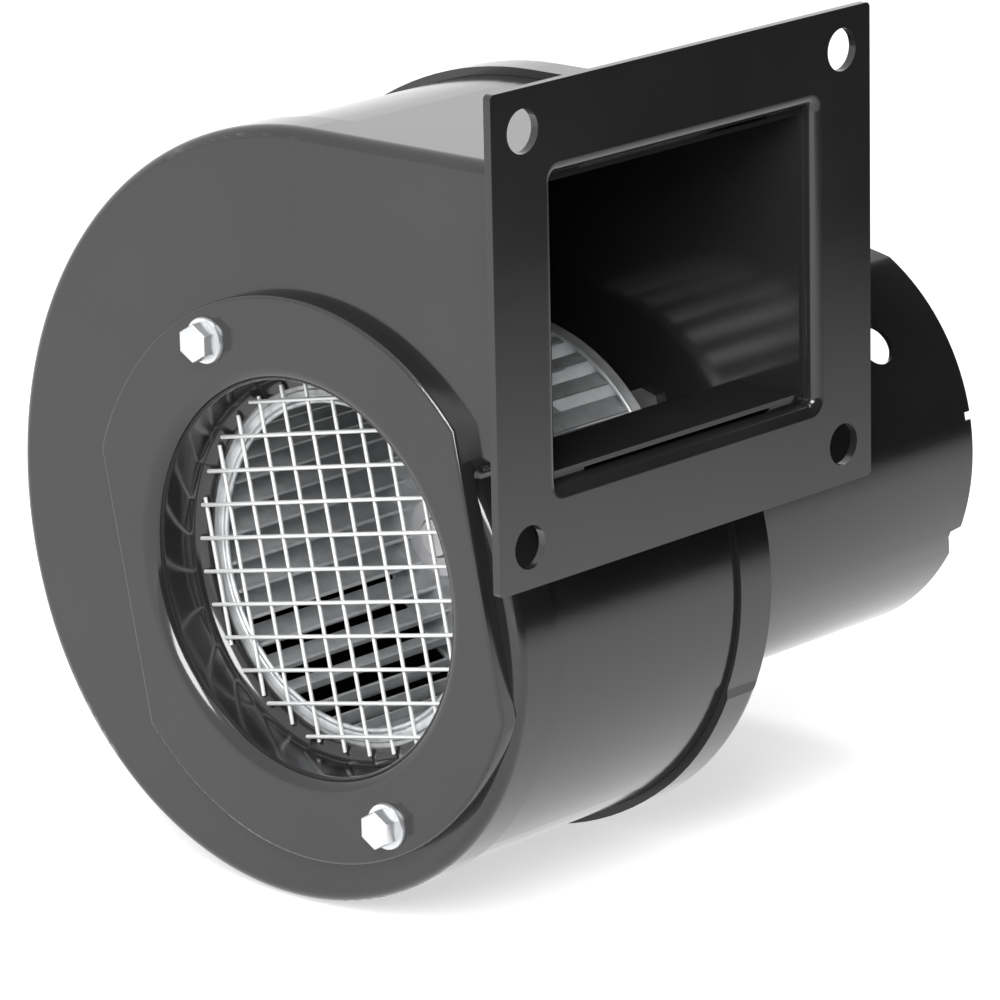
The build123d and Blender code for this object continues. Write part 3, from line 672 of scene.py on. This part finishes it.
def cut_away(shape, tools):
    """Take one shape out of another, both given as bmeshes, and return what is left."""
    pair = []
    for made in (shape, tools):
        close_up(made)
        mesh = bpy.data.meshes.new("working_shape")
        made.to_mesh(mesh)
        made.free()
        pair.append(bpy.data.objects.new("working_shape", mesh))
        bpy.context.scene.collection.objects.link(pair[-1])
    kept, taken = pair
    cut = kept.modifiers.new("openings", "BOOLEAN")
    cut.operation = "DIFFERENCE"
    cut.solver = "EXACT"
    cut.object = taken
    result = bmesh.new()
    result.from_object(kept, bpy.context.evaluated_depsgraph_get())
    for working in pair:
        mesh = working.data
        bpy.data.objects.remove(working)
        bpy.data.meshes.remove(mesh)
    return result


finish_piece(cut_away(cup, cutters), "motor_shell_drawn", "black_paint", "housing", ["motor_shell"])

# %% [markdown]
# Gloss black paint shows whatever stands round it, so the floor matters as much as the lamps. It is
# white near the blower, and far to the right its colour is painted dark: painted shade that stands in
# for a studio's dark room, which would show in the paint.
# Reflections and the camera see a share of glow on it, and diffuse light sees none, so the object keeps
# its shadow.

# %% Floor
floor_half = 3.0
floor_white = (0.86, 0.86, 0.86)
floor_painted_shade = (0.03, 0.03, 0.03)
lit_until = 0.22
dark_beyond = 0.55
glow_strength = 2.0
seen_share = 0.3
mirrored_share = 0.52


def stage_piece(shape, name, finish):
    """Turn a bmesh into a piece of the studio, which isn't part of the blower."""
    mesh = bpy.data.meshes.new(name)
    shape.to_mesh(mesh)
    shape.free()
    mesh.materials.append(finish.material)
    piece = bpy.data.objects.new(name, mesh)
    bpy.context.scene.collection.objects.link(piece)
    return piece


floor_finish = Finish("white_floor", floor_white, 0.9)
floor_x = floor_finish.node("ShaderNodeSeparateXYZ", None, {"Vector": floor_finish.place()})
floor_y = Flow(floor_finish, floor_x.socket.node.outputs["Y"])
to_the_right = (floor_x + floor_y) * sqrt(0.5)
lit = floor_finish.node(
    "ShaderNodeMapRange",
    None,
    {"Value": to_the_right, "From Min": dark_beyond, "From Max": lit_until, "To Min": 0.0, "To Max": 1.0},
)
# Painted shade: the floor's colour fades from white near the blower to dark far to the right.
floor_finish.put("Base Color", floor_finish.blend(lit, floor_painted_shade, floor_white))
seen = floor_finish.node("ShaderNodeLightPath", output="Is Camera Ray")
mirrored = floor_finish.node("ShaderNodeLightPath", output="Is Glossy Ray")
glow = floor_finish.node("ShaderNodeEmission", None, {"Color": (1, 1, 1, 1), "Strength": glow_strength})
floor_surface = floor_finish.node(
    "ShaderNodeMixShader",
    None,
    {
        "Fac": seen * seen_share + mirrored * lit * mirrored_share,
        1: Flow(floor_finish, floor_finish.shader.outputs[0]),
        2: glow,
    },
)
floor_finish.join(floor_finish.tree.nodes["Material Output"].inputs["Surface"], floor_surface)
floor_shape = bmesh.new()
bmesh.ops.create_grid(floor_shape, x_segments=1, y_segments=1, size=floor_half)
bmesh.ops.translate(floor_shape, verts=floor_shape.verts, vec=(0, 0, floor_z))
stage_piece(floor_shape, "floor", floor_finish)
print("floor at z", round(floor_z, 4))

# %% [markdown]
# The sky is plain white. Mirror reflections see it brighter than diffuse light does, so that black
# paint shows its gloss while pale metal and the white floor keep their tones.

# %% White sky
mirrored_level = 1.4
diffuse_level = 0.62
sky = bpy.data.worlds.new("studio")
sky.use_nodes = True
bpy.context.scene.world = sky
sky_nodes = sky.node_tree.nodes
sky_links = sky.node_tree.links
sky_level = sky_nodes["Background"]
sky_level.inputs["Color"].default_value = (1, 1, 1, 1)
path = sky_nodes.new("ShaderNodeLightPath")
dimmed = sky_nodes.new("ShaderNodeMapRange")
dimmed.inputs["From Max"].default_value = 1.0
dimmed.inputs["To Min"].default_value = mirrored_level
dimmed.inputs["To Max"].default_value = diffuse_level
sky_links.new(path.outputs["Is Diffuse Ray"], dimmed.inputs["Value"])
sky_links.new(dimmed.outputs["Result"], sky_level.inputs["Strength"])
print("sky", mirrored_level, "in reflections,", diffuse_level, "in diffuse light")

# %% [markdown]
# A wide key lamp hangs above and behind the camera and looks into the bell. A weak one hangs over the
# blower and picks out its upper edges.

# %% Lamps
middle = (cad_box[0] + cad_box[1]) / 2


def softbox(name, place, size, watts):
    """A square area lamp that looks at the blower's middle."""
    lamp = bpy.data.lights.new(name, "AREA")
    lamp.shape = "SQUARE"
    lamp.size = size
    lamp.energy = watts
    holder = bpy.data.objects.new(name, lamp)
    holder.location = place
    holder.rotation_mode = "QUATERNION"
    holder.rotation_quaternion = (middle - Vector(place)).to_track_quat("-Z", "Y")
    bpy.context.scene.collection.objects.link(holder)


softbox("key", place=(0.68, -1.06, 0.86), size=0.9, watts=48.0)
softbox("top", place=(0.1, 0.3, 1.3), size=0.8, watts=8.0)
print("lamps:", [lamp.name for lamp in bpy.data.lights])

# %% [markdown]
# Two black cards stand on the floor, one to the right and one behind, and put dark bands into the
# flange and the rounded sheets. The camera doesn't see them.

# %% Black cards
card_left = -0.12
card_right = 0.55
card_near = -0.5
card_back = 0.75
card_top = 1.3
black = Finish("black_card", (0.0, 0.0, 0.0), 1.0)
black.put("Specular IOR Level", 0.0)


def card(name, start, end):
    """An upright card that stands on the floor from one (x, y) to another."""
    corners = [(*start, floor_z), (*end, floor_z), (*end, card_top), (*start, card_top)]
    shape = bmesh.new()
    shape.faces.new([shape.verts.new(corner) for corner in corners])
    stage_piece(shape, name, black).visible_camera = False


card("right_card", (card_right, card_near), (card_right, card_back))
card("back_card", (card_left, card_back), (card_right, card_back))
bpy.context.scene.view_settings.view_transform = "Standard"
print("studio lit")
